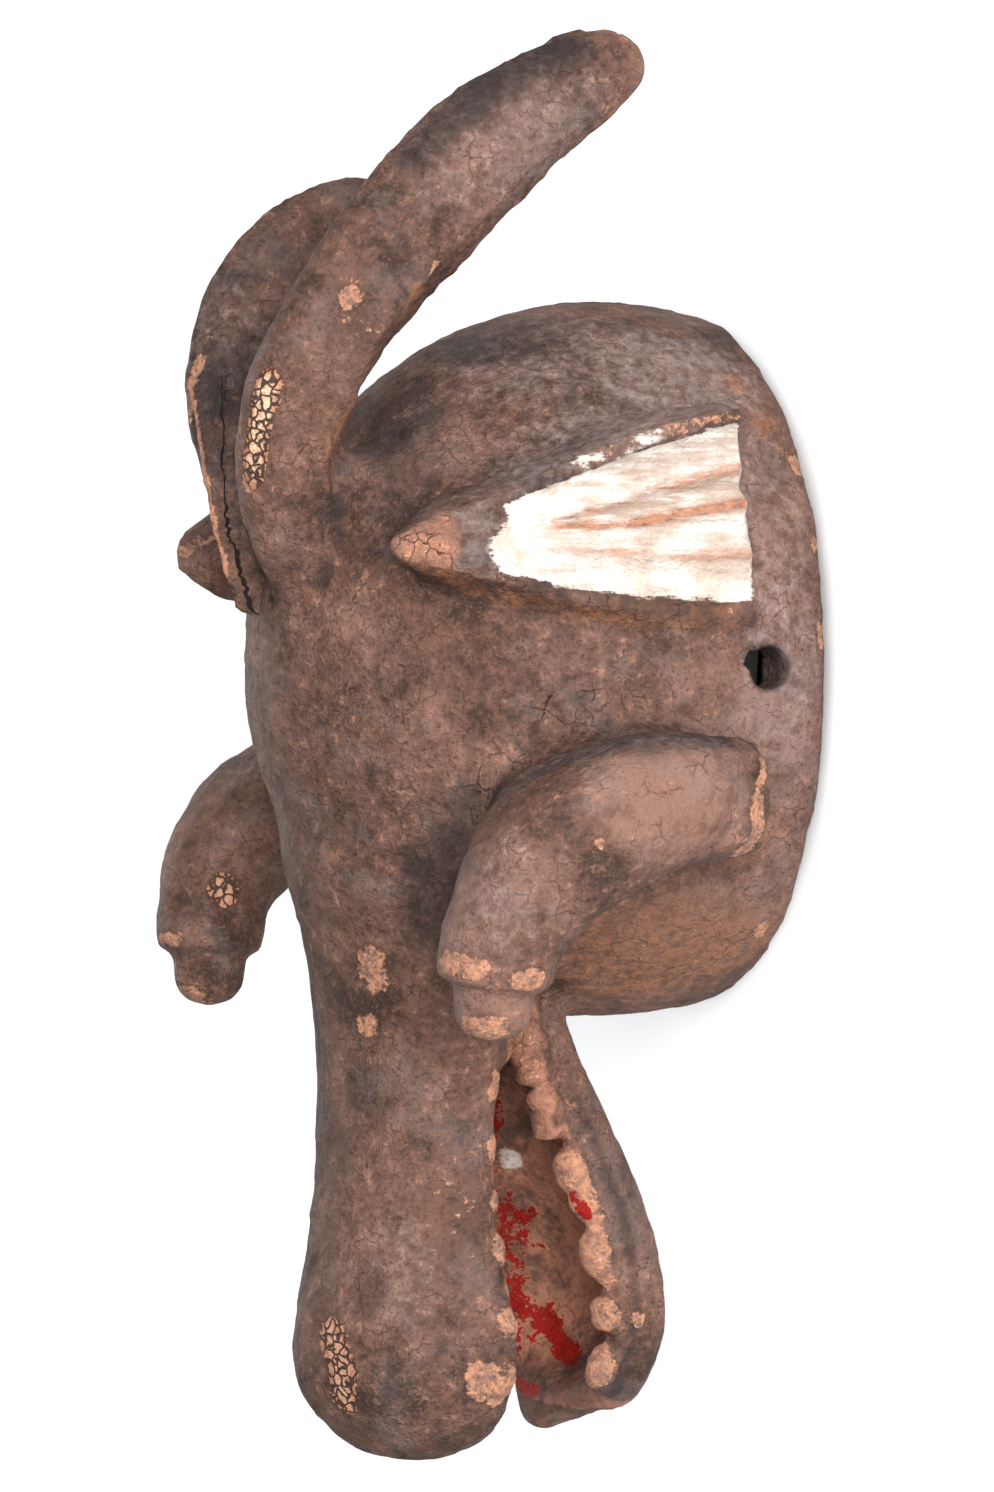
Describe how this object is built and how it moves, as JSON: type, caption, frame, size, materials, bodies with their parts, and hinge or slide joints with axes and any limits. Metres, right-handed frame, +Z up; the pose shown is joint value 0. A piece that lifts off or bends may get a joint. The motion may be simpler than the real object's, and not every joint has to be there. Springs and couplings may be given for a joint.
{
  "type": "zoomorphic helmet mask",
  "caption": "Carved wooden helmet mask of a long-snouted animal with open jaws, swept-back horns, fluted ears and eyes on bent stalks; worn over the head.",
  "frame": {"origin": "middle of the underside of the bounding box, in the plane of the helmet's rim", "axes": "+Z up from the rim to the crown, -Y along the snout, +X to the mask's own left"},
  "size_m": [0.2888, 0.502, 0.196],
  "materials": {
    "carved_wood": "dry crusted brown patina with worn tan patches, white pigment in the ears and red pigment in the mouth"
  },
  "bodies": {
    "root": {"mask": "carved_wood"}
  },
  "joints": []
}
